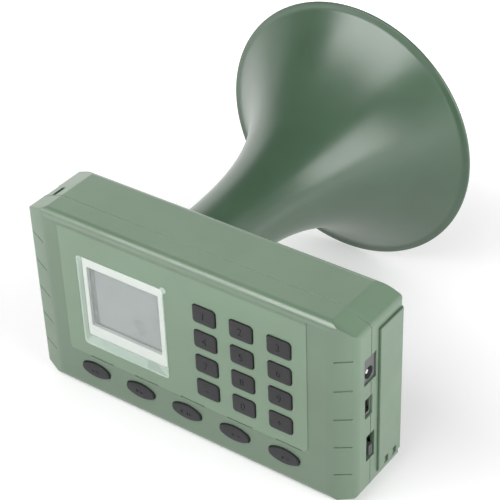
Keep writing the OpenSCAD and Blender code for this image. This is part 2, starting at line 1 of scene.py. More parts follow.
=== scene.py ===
"""Electronic game caller: finishes, soft-edged parts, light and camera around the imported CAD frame.

Metres, in the frame of the part: +X to the right of the keypad, +Y to the horn's mouth, +Z up.
"""
import json
import math

import bmesh
import bpy
from mathutils import Matrix, Vector


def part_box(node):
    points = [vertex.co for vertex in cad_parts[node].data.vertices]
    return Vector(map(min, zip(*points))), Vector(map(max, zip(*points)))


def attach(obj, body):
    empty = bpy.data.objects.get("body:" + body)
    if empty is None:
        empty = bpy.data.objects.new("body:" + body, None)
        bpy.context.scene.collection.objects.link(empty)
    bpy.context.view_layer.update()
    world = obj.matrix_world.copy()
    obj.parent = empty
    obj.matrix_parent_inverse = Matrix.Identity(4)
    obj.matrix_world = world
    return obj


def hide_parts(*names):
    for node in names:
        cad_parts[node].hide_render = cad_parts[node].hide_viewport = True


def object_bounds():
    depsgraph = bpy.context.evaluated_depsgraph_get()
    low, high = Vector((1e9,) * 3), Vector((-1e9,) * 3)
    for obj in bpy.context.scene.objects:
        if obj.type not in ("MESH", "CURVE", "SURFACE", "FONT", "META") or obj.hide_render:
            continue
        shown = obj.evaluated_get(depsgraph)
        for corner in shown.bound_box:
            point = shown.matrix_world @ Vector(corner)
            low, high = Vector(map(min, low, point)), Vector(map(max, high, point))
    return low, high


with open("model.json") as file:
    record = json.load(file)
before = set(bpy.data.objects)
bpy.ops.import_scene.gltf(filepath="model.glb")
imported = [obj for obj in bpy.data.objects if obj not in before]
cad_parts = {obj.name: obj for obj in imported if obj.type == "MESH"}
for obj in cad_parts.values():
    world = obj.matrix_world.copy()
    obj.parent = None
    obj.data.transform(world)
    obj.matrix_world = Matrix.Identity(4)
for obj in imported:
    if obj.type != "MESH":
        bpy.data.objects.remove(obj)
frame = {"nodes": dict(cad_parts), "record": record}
CAD_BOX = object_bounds()
NODES = frame["nodes"]
SCENE = bpy.context.scene
MM = 0.001


# ---------------------------------------------------------------- node materials

CASE_COLOR = (0.119, 0.184, 0.120)
SOCKET_GREY = (0.085, 0.088, 0.090)
SLEEVE_COLOR = (0.02, 0.03, 0.08)
LEAD_COLOR = (0.3, 0.02, 0.02)
# two corners in X and Z: the island of part.scad (island_x, island_w, island_z0), short of its top by 1 mm
ISLAND = ((-67.5 * MM, 22 * MM), (65.5 * MM, 91 * MM))
# the flat front (y_front in part.scad), and how far behind it the painted shade round the island has faded
# out
FRONT_Y = -19 * MM
PAINTED_SHADE_FADE = 5 * MM


def tint(color, k):
    return tuple(min(1.0, v * k) for v in color)


def add_node(tree, kind, **values):
    """A new node; each value is one of its properties, or else the default of an input."""
    n = tree.nodes.new(kind)
    for key, value in values.items():
        if key in n.bl_rna.properties:
            setattr(n, key, value)
        else:
            n.inputs[key.replace("_", " ")].default_value = value
    return n


def add_ramp(tree, low, high, start, end):
    """A smooth step from low at start to high at end."""
    return add_node(tree, "ShaderNodeMapRange", interpolation_type="SMOOTHSTEP",
                    From_Min=start, From_Max=end, To_Min=low, To_Max=high)


class Mat:
    """A Principled material with a few calls that add procedural nodes."""

    def __init__(self, name, color, rough, **sockets):
        self.mat = bpy.data.materials.new(name)
        self.mat.use_nodes = True
        self.tree = self.mat.node_tree
        self.bsdf = self.tree.nodes["Principled BSDF"]
        self.bsdf.inputs["Base Color"].default_value = (*color, 1)
        self.bsdf.inputs["Roughness"].default_value = rough
        for key, value in sockets.items():
            self.bsdf.inputs[key.replace("_", " ")].default_value = value
        self.where = self.node("ShaderNodeTexCoord").outputs["Object"]

    def node(self, kind, **values):
        return add_node(self.tree, kind, **values)

    def feed(self, value, socket):
        if isinstance(value, bpy.types.NodeSocket):
            self.tree.links.new(value, socket)
        elif isinstance(value, tuple):
            socket.default_value = (*value, 1)
        else:
            socket.default_value = value

    def set(self, socket, value):
        self.feed(value, self.bsdf.inputs[socket])

    def stretched(self, scale):
        n = self.node("ShaderNodeMapping", Scale=scale)
        self.feed(self.where, n.inputs["Vector"])
        return n.outputs["Vector"]

    def noise(self, scale, detail=2.0, rough=0.5, at=None):
        n = self.node("ShaderNodeTexNoise", Scale=scale, Detail=detail, Roughness=rough)
        self.feed(at or self.where, n.inputs["Vector"])
        return n.outputs["Fac"]

    def cells(self, scale, feature="F1"):
        n = self.node("ShaderNodeTexVoronoi", feature=feature, Scale=scale)
        self.feed(self.where, n.inputs["Vector"])
        return n.outputs["Distance"]

    def ramp(self, source, low, high, start=0.3, end=0.7):
        n = add_ramp(self.tree, low, high, start, end)
        self.feed(source, n.inputs["Value"])
        return n.outputs["Result"]

    def math(self, operation, a, b):
        n = self.node("ShaderNodeMath", operation=operation)
        self.feed(a, n.inputs[0])
        self.feed(b, n.inputs[1])
        return n.outputs[0]

    def mix(self, share, a, b):
        n = self.node("ShaderNodeMix", data_type="RGBA")
        self.feed(share, n.inputs[0])
        self.feed(a, n.inputs[6])
        self.feed(b, n.inputs[7])
        return n.outputs[2]

    def axes(self):
        n = self.node("ShaderNodeSeparateXYZ")
        self.feed(self.where, n.inputs[0])
        return n.outputs

    def between(self, source, low, high, soft):
        """1 where low < source < high, with soft edges."""
        return self.math("MULTIPLY", self.ramp(source, 0, 1, low - soft, low + soft),
                         self.ramp(source, 1, 0, high - soft, high + soft))

    def soft_edges(self, radius):
        """The normal rounded over a radius at every edge, and how close an edge is, from 0 to 1."""
        n = self.node("ShaderNodeBevel", samples=4, Radius=radius)
        dot = self.node("ShaderNodeVectorMath", operation="DOT_PRODUCT")
        self.feed(n.outputs[0], dot.inputs[0])
        self.feed(self.node("ShaderNodeNewGeometry").outputs["Normal"], dot.inputs[1])
        return n.outputs[0], self.ramp(dot.outputs["Value"], 1, 0, 0.8, 0.995)

    def bump(self, height, strength, depth, under=None):
        n = self.node("ShaderNodeBump", Strength=strength, Distance=depth)
        self.feed(height, n.inputs["Height"])
        if under is not None:
            self.feed(under, n.inputs["Normal"])
        return n.outputs["Normal"]


def moulded(name, color, rough, grain=1800, depth=0.012, mottle=0.05, edge=0.25, worn=1.3, wear=0.5,
            scuff=1.25, uneven=0.045, **sockets):
    """Moulded plastic: eroded grain, faint mottling, hairline scuffs and edges rubbed lighter."""
    m = Mat(name, color, rough, **sockets)
    normal, near_edge = m.soft_edges(edge * MM)
    flow = m.ramp(m.noise(24, 3, 0.6), 0, 1)
    base = m.mix(flow, tint(color, 1 - mottle), tint(color, 1 + mottle))
    scuffs = m.ramp(m.noise(90, 5, 0.7, m.stretched((1, 0.5, 9))), 0, 0.22, 0.62, 0.78)
    base = m.mix(scuffs, base, tint(color, scuff))
    rubbed = m.math("MULTIPLY", near_edge, m.ramp(m.noise(140, 3, 0.6), 0, wear, 0.35, 0.7))
    base = m.mix(rubbed, base, tint(color, worn))
    m.set("Base Color", base)
    sheen = m.ramp(m.noise(70, 3, 0.5), rough - uneven, rough + uneven)
    m.set("Roughness", m.math("ADD", sheen, m.math("MULTIPLY", scuffs, scuff - 1)))
    m.set("Normal", m.bump(m.noise(grain, 2, 0.6), 0.5, depth * MM, normal))
    return m


def metal(name, color, rough, brush=(1, 1, 1)):
    """Plated or turned metal with fine directional brushing and dull patches."""
    m = Mat(name, color, rough, Metallic=1.0)
    normal, near_edge = m.soft_edges(0.1 * MM)
    streak = m.noise(1500, 3, 0.6, m.stretched(brush))
    patch = m.ramp(m.noise(220, 4, 0.65), 0, 1)
    m.set("Base Color", m.mix(patch, tint(color, 0.82), tint(color, 1.05)))
    duller = m.math("MULTIPLY", near_edge, 0.05)
    m.set("Roughness", m.math("ADD", m.ramp(streak, rough - 0.05, rough + 0.08), duller))
    m.set("Normal", m.bump(streak, 0.25, 0.01 * MM, normal))
    return m.mat


def case_green(island):
    """Green moulding, with painted shade: the front outside the raised island round the screen and keys is
    darkened, fading out behind the front.
    """
    (x0, z0), (x1, z1) = island
    m = moulded("case_green", CASE_COLOR, 0.33, edge=0.5, worn=1.5, Specular_IOR_Level=0.85)
    x, y, z = m.axes()
    panel = m.math("MULTIPLY", m.between(x, x0, x1, 0.2 * MM), m.between(z, z0, z1, 0.2 * MM))
    front = m.ramp(y, 1, 0, FRONT_Y, FRONT_Y + PAINTED_SHADE_FADE)
    painted_shade = m.math("MULTIPLY", front, m.math("SUBTRACT", 1.0, panel))
    plain = m.bsdf.inputs["Base Color"].links[0].from_socket
    # painted shade: outside the island the front is mixed by up to 0.34 towards 0.3 of the case colour,
    # fading out behind the front
    m.set("Base Color", m.mix(m.math("MULTIPLY", painted_shade, 0.34), plain, tint(CASE_COLOR, 0.3)))
    return m.mat


def horn_green():
    """Smooth dark green moulding, with almost no scuffs, so that its long highlights stay clean."""
    return moulded("horn_green", (0.041, 0.084, 0.047), 0.29, grain=1200, depth=0.006,
                   mottle=0.07, wear=0.3, scuff=1.03, uneven=0.012, Specular_IOR_Level=0.85).mat


def key_rubber():
    """Silicone rubber: velvety, with lint specks, and crests painted lighter, partly wear and partly a
    painted sheen.
    """
    # worn lightens the key edges: partly wear, partly a painted sheen
    return moulded("key_rubber", (0.019, 0.019, 0.021), 0.52, grain=2600, depth=0.02, mottle=0.12, edge=0.3,
                   worn=1.9, wear=0.7, Specular_IOR_Level=0.32, Sheen_Weight=0.05, Sheen_Roughness=0.4).mat


def dark_plastic():
    return moulded("dark_plastic", (0.012, 0.012, 0.013), 0.42, grain=2400).mat


def grey_plastic():
    return moulded("grey_plastic", SOCKET_GREY, 0.38, grain=2400, edge=0.15).mat


def screen_white():
    return moulded("screen_white", (0.50, 0.505, 0.49), 0.32, grain=2000, depth=0.004,
                   mottle=0.015, worn=1.05).mat


def screen_clear():
    m = Mat("screen_clear", (0.30, 0.31, 0.33), 0.06, Alpha=0.10, IOR=1.49)
    m.set("Roughness", m.ramp(m.noise(60, 4, 0.6), 0.04, 0.12))
    return m.mat


def screen_grey(window):
    """A display that is off: fine segment grid, and a painted shadow along the left and bottom of the
    window, where the frame's shade falls.
    """
    (x0, z0), (x1, z1) = window
    m = Mat("screen_grey", (0.34, 0.35, 0.36), 0.28)
    x, _, z = m.axes()
    unshadowed = m.math("MULTIPLY", m.between(x, x0 + 3.3 * MM, x1 + 1 * MM, 0.1 * MM),
                    m.between(z, z0 + 1.6 * MM, z1 + 1 * MM, 0.1 * MM))
    grid = m.node("ShaderNodeTexBrick", offset=0.0, squash=1.0, Scale=1.0,
                  Mortar_Size=0.00005, Brick_Width=0.0004, Row_Height=0.0004)
    turned = m.node("ShaderNodeMapping", Rotation=(math.pi / 2, 0, 0))
    m.feed(m.where, turned.inputs["Vector"])
    m.feed(turned.outputs["Vector"], grid.inputs["Vector"])
    cloud = m.ramp(m.noise(45, 3, 0.5), 0, 1)
    face = m.mix(cloud, (0.198, 0.199, 0.208), (0.212, 0.213, 0.222))
    face = m.mix(m.math("MULTIPLY", grid.outputs["Fac"], 0.12), face, (0.11, 0.11, 0.115))
    # painted shadow: near black in a band 3.3 mm wide at the left and 1.6 mm at the bottom of the window
    m.set("Base Color", m.mix(unshadowed, (0.04, 0.04, 0.04), face))
    m.set("Roughness", m.ramp(cloud, 0.25, 0.32, 0, 1))
    return m.mat


def film(bezel):
    """Clear mint-tinted film, cloudier outside the white frame, with one faint long crease."""
    (x0, z0), (x1, z1) = bezel
    m = Mat("film", (0.74, 0.86, 0.79), 0.2, Alpha=0.2, IOR=1.5)
    x, _, z = m.axes()
    inside = m.math("MULTIPLY", m.between(x, x0, x1, 0.3 * MM), m.between(z, z0, z1, 0.3 * MM))
    patchy = m.ramp(m.noise(90, 4, 0.6), 0, 1)
    m.set("Base Color", m.mix(patchy, (0.70, 0.84, 0.76), (0.80, 0.90, 0.84)))
    start_x, start_z = x0 + 0.40 * (x1 - x0), z0 + 0.40 * (z1 - z0)
    offset = m.math("SUBTRACT", m.math("MULTIPLY", m.math("SUBTRACT", z, start_z), 0.78),
                    m.math("MULTIPLY", m.math("SUBTRACT", x, start_x), 0.62))
    crease = m.math("MULTIPLY", m.between(offset, -0.25 * MM, 0.15 * MM, 0.15 * MM),
                    m.math("MULTIPLY", m.ramp(x, 0, 1, start_x, start_x + 3 * MM), inside))
    cloud = m.math("ADD", m.ramp(m.noise(50, 2, 0.5), 0.205, 0.235), m.math("MULTIPLY", inside, -0.12))
    m.set("Alpha", m.math("ADD", cloud, m.math("MULTIPLY", crease, 0.03)))
    m.set("Roughness", m.ramp(m.noise(160, 3, 0.6), 0.12, 0.28))
    m.set("Normal", m.bump(crease, 0.35, 0.06 * MM, m.bump(m.noise(120, 2, 0.5), 0.3, 0.05 * MM)))
    return m.mat


def board():
    """Solder mask over copper traces."""
    m = Mat("board", (0.01, 0.09, 0.035), 0.28, Specular_IOR_Level=0.6)
    lines = m.ramp(m.cells(420, "DISTANCE_TO_EDGE"), 1, 0, 0.02, 0.09)
    m.set("Base Color", m.mix(lines, (0.008, 0.075, 0.03), (0.03, 0.16, 0.06)))
    m.set("Normal", m.bump(lines, 0.4, 0.03 * MM, m.soft_edges(0.1 * MM)[0]))
    return m.mat


def capacitor():
    """Sleeved can with a pale polarity stripe."""
    m = Mat("capacitor", SLEEVE_COLOR, 0.3)
    stripe = m.ramp(m.noise(60, 1, 0.5), 0, 1, 0.58, 0.62)
    m.set("Base Color", m.mix(stripe, SLEEVE_COLOR, (0.35, 0.36, 0.4)))
    m.set("Normal", m.soft_edges(0.3 * MM)[0])
    return m.mat


def ferrite():
    m = Mat("ferrite", (0.03, 0.03, 0.033), 0.6)
    speck = m.noise(900, 3, 0.7)
    m.set("Base Color", m.mix(m.ramp(speck, 0, 1), (0.02, 0.02, 0.022), (0.05, 0.05, 0.055)))
    m.set("Normal", m.bump(speck, 0.6, 0.05 * MM, m.soft_edges(0.2 * MM)[0]))
    return m.mat


def cell_sleeve():
    """Sleeved battery cells: a dark body, a plain coppery collar near one end and fine ripples."""
    m = Mat("cell_sleeve", (0.02, 0.02, 0.022), 0.22, Coat_Weight=0.5, Coat_Roughness=0.12)
    x = m.axes()[0]
    low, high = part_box("battery_cells")
    collar = m.between(x, high.x - 14 * MM, high.x - 3.2 * MM, 0.05 * MM)
    cap = m.ramp(x, 0, 1, high.x - 2.0 * MM, high.x - 1.9 * MM)
    base = m.mix(collar, (0.018, 0.02, 0.024), (0.52, 0.25, 0.07))
    m.set("Base Color", m.mix(cap, base, (0.6, 0.6, 0.6)))
    m.set("Metallic", m.math("MAXIMUM", collar, cap))
    m.set("Roughness", m.ramp(m.noise(80, 3, 0.6), 0.18, 0.3))
    m.set("Normal", m.bump(m.noise(240, 2, 0.5), 0.3, 0.03 * MM, m.soft_edges(0.3 * MM)[0]))
    return m.mat


def foam():
    m = Mat("foam", (0.03, 0.03, 0.03), 0.9, Sheen_Weight=0.3)
    pores = m.cells(900)
    m.set("Base Color", m.mix(m.ramp(pores, 0, 1, 0.1, 0.6), (0.01, 0.01, 0.01), (0.06, 0.06, 0.06)))
    m.set("Normal", m.bump(pores, 0.9, 0.2 * MM))
    return m.mat


def cone():
    """Pressed paper cone with long fibres."""
    m = Mat("cone", (0.05, 0.048, 0.045), 0.75, Sheen_Weight=0.15)
    fibre = m.noise(700, 4, 0.7, m.stretched((1, 6, 1)))
    m.set("Base Color", m.mix(m.ramp(fibre, 0, 1), (0.03, 0.029, 0.028), (0.085, 0.08, 0.075)))
    m.set("Normal", m.bump(fibre, 0.6, 0.08 * MM))
    return m.mat


def lead():
    """Wire insulation, red in some stretches and black in others."""
    m = Mat("lead", LEAD_COLOR, 0.35)
    black = m.ramp(m.noise(30, 1, 0.5), 0, 1, 0.49, 0.51)
    m.set("Base Color", m.mix(black, LEAD_COLOR, (0.02, 0.02, 0.02)))
    m.set("Normal", m.bump(m.noise(1200, 2, 0.5), 0.2, 0.02 * MM))
    return m.mat


view_low, view_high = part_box("display_lens")
bezel_low, bezel_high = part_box("screen_frame")
FINISH = {
    "case_green": case_green(ISLAND),
    "horn_green": horn_green(),
    "key_rubber": key_rubber(),
    "dark_plastic": dark_plastic(),
    "grey_plastic": grey_plastic(),
    "screen_white": screen_white(),
    "screen_clear": screen_clear(),
    "screen_grey": screen_grey(((view_low.x, view_low.z), (view_high.x, view_high.z))),
    "film": film(((bezel_low.x, bezel_low.z), (bezel_high.x, bezel_high.z))),
    "steel": metal("steel", (0.55, 0.55, 0.56), 0.3),
    "bright_metal": metal("bright_metal", (0.82, 0.82, 0.80), 0.16, brush=(1, 1, 8)),
    "gold": metal("gold", (0.85, 0.62, 0.28), 0.22),
    "copper": metal("copper", (0.72, 0.36, 0.2), 0.3, brush=(1, 12, 1)),
    "alloy": metal("alloy", (0.62, 0.63, 0.65), 0.42, brush=(8, 1, 1)),
    "ferrite": ferrite(),
    "board": board(),
    "capacitor": capacitor(),
    "cell_sleeve": cell_sleeve(),
    "foam": foam(),
    "cone": cone(),
    "lead": lead(),
}

for part in frame["record"]["subparts"]:
    coat = NODES[part["node"]].data.materials
    coat.clear()
    coat.append(FINISH[part["material_slot"]])


# ---------------------------------------------------------------- mesh tools

HORN_ANGLE = 50
CAP_ANGLE = 35
FILM_ANGLE = 60
MARKED_ANGLE = 28
CORNER_STEPS = 8
OVAL_STEPS = 10


def linked(name, bm):
    """An object in the scene that holds a bmesh, which is used up."""
    mesh = bpy.data.meshes.new(name)
    bm.to_mesh(mesh)
    bm.free()
    obj = bpy.data.objects.new(name, mesh)
    SCENE.collection.objects.link(obj)
    return obj


def shade(mesh, angle):
    """Smooth shading, except across edges sharper than angle, in degrees."""
    mesh.polygons.foreach_set("use_smooth", [True] * len(mesh.polygons))
    mesh.set_sharp_from_angle(angle=math.radians(angle))


def new_object(name, bm, slot, angle):
    """A finished mesh object from a bmesh."""
    bmesh.ops.remove_doubles(bm, verts=bm.verts, dist=1e-7)
    bmesh.ops.recalc_face_normals(bm, faces=bm.faces)
    obj = linked(name, bm)
    shade(obj.data, angle)
    obj.data.materials.append(FINISH[slot])
    return obj


def bridge(bm, a, b):
    """A band of quads between two closed rings."""
    n = len(a)
    for i in range(n):
        bm.faces.new((a[i], a[(i + 1) % n], b[(i + 1) % n], b[i]))


def loft(bm, loops):
    """Skins loops of equal length; each end is closed by a fan round its middle."""
    rings = [[bm.verts.new(p) for p in loop] for loop in loops]
    for a, b in zip(rings, rings[1:]):
        bridge(bm, a, b)
    for ring in (rings[0], rings[-1]):
        middle = bm.verts.new(sum((v.co for v in ring), Vector()) / len(ring))
        for i, v in enumerate(ring):
            bm.faces.new((v, ring[(i + 1) % len(ring)], middle))


def lathe(bm, profile, axis_x, axis_z, turns):
    """Turns a closed profile of (radius, y) about a line along +Y."""
    rings = []
    for r, y in profile:
        ring = []
        for i in range(turns):
            a = math.tau * i / turns
            ring.append(bm.verts.new((axis_x + r * math.cos(a), y, axis_z + r * math.sin(a))))
        rings.append(ring)
    for a, b in zip(rings, rings[1:] + rings[:1]):
        bridge(bm, a, b)


def rounded(w, h, r):
    """Outline of a rounded rectangle about the origin."""
    r = max(min(r, w / 2 - 1e-6, h / 2 - 1e-6), 1e-6)
    points = []
    for corner, (sx, sz) in enumerate(((1, 1), (-1, 1), (-1, -1), (1, -1))):
        for k in range(CORNER_STEPS + 1):
            a = math.pi / 2 * (corner + k / CORNER_STEPS)
            points.append((sx * (w / 2 - r) + r * math.cos(a), sz * (h / 2 - r) + r * math.sin(a)))
    return points


def oval(length, height, end_r):
    """Outline of an oval of four tangent arcs about the origin."""
    c = length / 2 - end_r
    side_r = (c * c + height * height / 4 - end_r * end_r) / (height - 2 * end_r)
    join = math.atan2(c, side_r - height / 2)
    half = []
    for k in range(OVAL_STEPS + 1):
        a = -(math.pi / 2 - join) + 2 * (math.pi / 2 - join) * k / OVAL_STEPS
        half.append((c + end_r * math.cos(a), end_r * math.sin(a)))
    for k in range(1, 2 * OVAL_STEPS):
        a = math.pi / 2 - join + 2 * join * k / (2 * OVAL_STEPS)
        half.append((side_r * math.cos(a), height / 2 - side_r + side_r * math.sin(a)))
    return half + [(-x, -z) for x, z in half]


def carve(obj, cutter):
    """Cuts the cutter object out of obj and removes it."""
    cut = obj.modifiers.new("mark", "BOOLEAN")
    cut.operation = "DIFFERENCE"
    cut.solver = "EXACT"
    cut.object = cutter
    bpy.context.view_layer.update()
    done = bpy.data.meshes.new_from_object(obj.evaluated_get(bpy.context.evaluated_depsgraph_get()))
    obj.modifiers.clear()
    obj.data = done
    shade(done, MARKED_ANGLE)
    bpy.data.objects.remove(cutter)


def prism(bm, outline, centre, depth):
    """A straight-sided plug through the front of a key: outline in X and Z about centre."""
    loops = [[(centre.x + x, centre.y + y, centre.z + z) for x, z in outline] for y in (-MM, depth)]
    loft(bm, loops)


def plug(name, outlines, centre, depth):
    """One cutter of several prisms."""
    bm = bmesh.new()
    for outline in outlines:
        prism(bm, outline, centre, depth)
    bmesh.ops.recalc_face_normals(bm, faces=bm.faces)
    return linked(name, bm)


def numeral_plug(name, text, size, centre, depth):
    """A solid numeral that stands through the front of a key."""
    curve = bpy.data.curves.new(name, "FONT")
    curve.body = text
    curve.size = size
    curve.align_x = "CENTER"
    curve.align_y = "CENTER"
    curve.resolution_u = 4
    curve.extrude = (depth + MM) / 2
    source = bpy.data.objects.new(name, curve)
    SCENE.collection.objects.link(source)
    bpy.context.view_layer.update()
    mesh = bpy.data.meshes.new_from_object(source.evaluated_get(bpy.context.evaluated_depsgraph_get()))
    bpy.data.objects.remove(source)
    place = Matrix.Translation(centre + Vector((0, (depth - MM) / 2, 0)))
    mesh.transform(place @ Matrix.Rotation(math.pi / 2, 4, "X"))
    bm = bmesh.new()
    bm.from_mesh(mesh)
    bmesh.ops.remove_doubles(bm, verts=bm.verts, dist=1e-7)
    return linked(name, bm)


# ---------------------------------------------------------------- horn

FLARE_POWER = 3.58
THROAT_R = 18.1 * MM
HORN_WALL = 1.8 * MM
FOOT_R = 22 * MM
FOOT_T = 2.4 * MM
FOOT_COVE = 2.5 * MM
LIP_R = 1.25 * MM
LIP_DEPTH = 2.2 * MM
FLARE_STEPS = 110
HORN_TURNS = 224


def horn_profile(foot_y, mouth_y, mouth_r):
    """Closed outline: foot flange, outer flare, rolled lip and inner flare."""
    def at(s):
        return THROAT_R + (mouth_r - THROAT_R) * s ** FLARE_POWER

    def y_of(s):
        return foot_y + (mouth_y - foot_y) * s

    start = (FOOT_T + FOOT_COVE) / (mouth_y - foot_y)
    stop = 1 - LIP_DEPTH / (mouth_y - foot_y)
    outer = []
    for i in range(FLARE_STEPS + 1):
        s = start + (stop - start) * i / FLARE_STEPS
        outer.append((at(s), y_of(s)))
    foot = [(THROAT_R - HORN_WALL, foot_y), (FOOT_R - 0.4 * MM, foot_y), (FOOT_R, foot_y + 0.4 * MM),
            (FOOT_R, foot_y + FOOT_T - 0.5 * MM), (FOOT_R - 0.5 * MM, foot_y + FOOT_T)]
    for k in range(7):
        a = math.pi / 2 * k / 6
        foot.append((THROAT_R + FOOT_COVE - FOOT_COVE * math.sin(a),
                     foot_y + FOOT_T + FOOT_COVE - FOOT_COVE * math.cos(a)))
    lip_c = (mouth_r - LIP_R, mouth_y - LIP_R)
    lip = []
    for k in range(15):
        a = math.radians(-48 + 230 * k / 14)
        lip.append((lip_c[0] + LIP_R * math.cos(a), lip_c[1] + LIP_R * math.sin(a)))
    inner = []
    for i in range(FLARE_STEPS, 0, -1):
        s = stop * i / FLARE_STEPS
        inner.append((max(THROAT_R - HORN_WALL, at(s) - HORN_WALL * (1 + 0.6 * s ** 3)), y_of(s)))
    return foot + outer + lip + inner


def build_horn():
    low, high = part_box("horn_bell")
    mouth_r = (high.x - low.x) / 2
    bm = bmesh.new()
    lathe(bm, horn_profile(low.y, high.y, mouth_r), (low.x + high.x) / 2, (low.z + high.z) / 2, HORN_TURNS)
    horn = new_object("horn_flare", bm, "horn_green", HORN_ANGLE)
    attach(horn, "case")
    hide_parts("horn_bell")


build_horn()


# ---------------------------------------------------------------- keys

FLANGE = 1.4 * MM
FLANGE_T = 1.0 * MM
STEM = (6 * MM, 4.6 * MM)
CAP_TO_FLANGE = 3.8 * MM
KEY_CORNER = 1.6 * MM
OVAL_END = 2.4 * MM
# an outline, and its corner or end radius on the skirt, the flange and the stem
DIGIT_SHAPE = (rounded, KEY_CORNER, KEY_CORNER, 1 * MM)
OVAL_SHAPE = (oval, OVAL_END, OVAL_END + FLANGE, 1.6 * MM)
EDGE = 0.5 * MM
CROWN = 0.16 * MM
MARK_DEPTH = 0.3 * MM
NUMERAL_SIZE = 5.4 * MM
DIGIT_MARKS = "123456789-0+"


def build_cap(name, node, body, shape, face):
    """A moulded cap: stem, flange, skirt, rolled edge and a low crown, from back to front."""
    low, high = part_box(node)
    middle = (low + high) / 2
    front = low.y
    back = front + CAP_TO_FLANGE

    def loop(points, y, k=1.0, inset=0.0):
        out = []
        for x, z in points:
            reach = math.hypot(x, z)
            scale = k * (1 - inset / reach)
            out.append((middle.x + x * scale, y, middle.z + z * scale))
        return out

    outline, skirt_r, wide_r, stem_r = shape
    skirt = outline(face[0], face[1], skirt_r)
    wide = outline(face[0] + 2 * FLANGE, face[1] + 2 * FLANGE, wide_r)
    stem = outline(STEM[0], STEM[1], stem_r)
    loops = [loop(stem, high.y), loop(stem, back + FLANGE_T), loop(wide, back + FLANGE_T), loop(wide, back),
             loop(skirt, back), loop(skirt, front + CROWN + EDGE)]
    for k in range(1, 7):
        a = math.pi / 2 * k / 6
        loops.append(loop(skirt, front + CROWN + EDGE * (1 - math.sin(a)), 1, EDGE * (1 - math.cos(a))))
    for k in (0.8, 0.6, 0.4, 0.2):
        loops.append(loop(skirt, front + CROWN * k * k, k * 0.93))
    bm = bmesh.new()
    loft(bm, loops)
    cap = new_object(name, bm, "key_rubber", CAP_ANGLE)
    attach(cap, body)
    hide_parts(node)
    return cap, Vector((middle.x, front, middle.z))


def build_digit_keys():
    """The twelve keys, row by row from the top left, each with a sunk plain mark."""
    for i, mark in enumerate(DIGIT_MARKS, start=1):
        low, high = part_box(f"key_{i}")
        face = (high.x - low.x - 2 * FLANGE, high.z - low.z - 2 * FLANGE)
        cap, front = build_cap(f"digit_cap_{i}", f"key_{i}", f"digit_key_{i}", DIGIT_SHAPE, face)
        carve(cap, numeral_plug(f"mark_{i}", mark, NUMERAL_SIZE, front, MARK_DEPTH))


def arrow(x, size, turn):
    """A triangle that points along turn, in degrees from +X."""
    angles = [math.radians(turn + 120 * k) for k in range(3)]
    return [(x + size * math.cos(a), size * math.sin(a)) for a in angles]


def bar(x, w, h):
    """An upright rectangle about (x, 0)."""
    return [(x - w / 2, -h / 2), (x + w / 2, -h / 2), (x + w / 2, h / 2), (x - w / 2, h / 2)]


def build_menu_keys():
    """Each menu key carries a plain pictogram: step back, step on, play and pause, up, down."""
    s = 1.15 * MM
    marks = [
        [arrow(-1.1 * MM, s, 180), arrow(1.3 * MM, s, 180)],
        [arrow(-1.3 * MM, s, 0), arrow(1.1 * MM, s, 0)],
        [arrow(-1.9 * MM, s, 0), bar(1.2 * MM, 0.6 * MM, 2 * MM), bar(2.5 * MM, 0.6 * MM, 2 * MM)],
        [arrow(0, s, 90), bar(2.8 * MM, 1.6 * MM, 0.5 * MM)],
        [arrow(0, s, -90), bar(2.8 * MM, 1.6 * MM, 0.5 * MM)],
    ]
    for i, outlines in enumerate(marks, start=1):
        low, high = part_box(f"menu_key_{i}")
        face = (high.x - low.x - 2 * FLANGE, high.z - low.z - 2 * FLANGE)
        cap, front = build_cap(f"menu_cap_{i}", f"menu_key_{i}", f"oval_key_{i}", OVAL_SHAPE, face)
        carve(cap, plug(f"pictogram_{i}", outlines, front, MARK_DEPTH))


build_digit_keys()
build_menu_keys()


# ---------------------------------------------------------------- protective film

TAB_R = 1.6 * MM
TAB_OUT = 0.2 * MM
FILM_CORNER = 2.2 * MM
FILM_RIPPLE = 0.06 * MM
TAB_TURNS = 28


def build_film():
    """A pull-off film with lifted edges and a thumb tab at the upper right."""
    low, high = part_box("protective_film")
    back = high.y
    w = high.x - low.x - TAB_R - TAB_OUT
    h = high.z - low.z - TAB_R
    cx, cz = low.x + w / 2, low.z + h / 2
    thick = high.y - low.y

    def loop(inset, lift):
        points = rounded(w - 2 * inset, h - 2 * inset, FILM_CORNER - inset)
        return [(cx + x, back - lift - FILM_RIPPLE * math.sin(40 * x / w), cz + z) for x, z in points]

    bm = bmesh.new()
    loft(bm, [loop(0.9 * MM, 0.02 * MM), loop(0.05 * MM, 0.08 * MM), loop(0, 0.16 * MM),
              loop(0.04 * MM, 0.26 * MM), loop(0.18 * MM, thick + 0.12 * MM),
              loop(0.5 * MM, thick + 0.07 * MM), loop(1.0 * MM, thick)])
    film_obj = new_object("screen_film", bm, "film", FILM_ANGLE)
    tab = bmesh.new()
    tab_c = Vector((cx + w / 2 + TAB_OUT, 0, cz + h / 2))

    def disc(r, lift):
        angles = [math.tau * k / TAB_TURNS for k in range(TAB_TURNS)]
        return [(tab_c.x + r * math.cos(a), back - lift, tab_c.z + r * math.sin(a)) for a in angles]

    loft(tab, [disc(TAB_R - 0.5 * MM, thick + 0.05 * MM), disc(TAB_R, thick + 0.1 * MM),
               disc(TAB_R, thick + 0.3 * MM), disc(TAB_R - 0.3 * MM, thick + 0.42 * MM)])
    tab_obj = new_object("film_tab", tab, "film", FILM_ANGLE)
    for obj in (film_obj, tab_obj):
        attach(obj, "case")
    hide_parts("protective_film")


build_film()


# ---------------------------------------------------------------- camera

CAMERA_AT = Vector((353.39, -438.37, 486.98)) * MM
CAMERA_VIEW = Vector((-0.49073, 0.65414, -0.57558)).normalized()
CAMERA_UP = Vector((-0.31322, 0.48399, 0.81710))
CAMERA_LENS = 115.28
SENSOR_WIDTH = 36


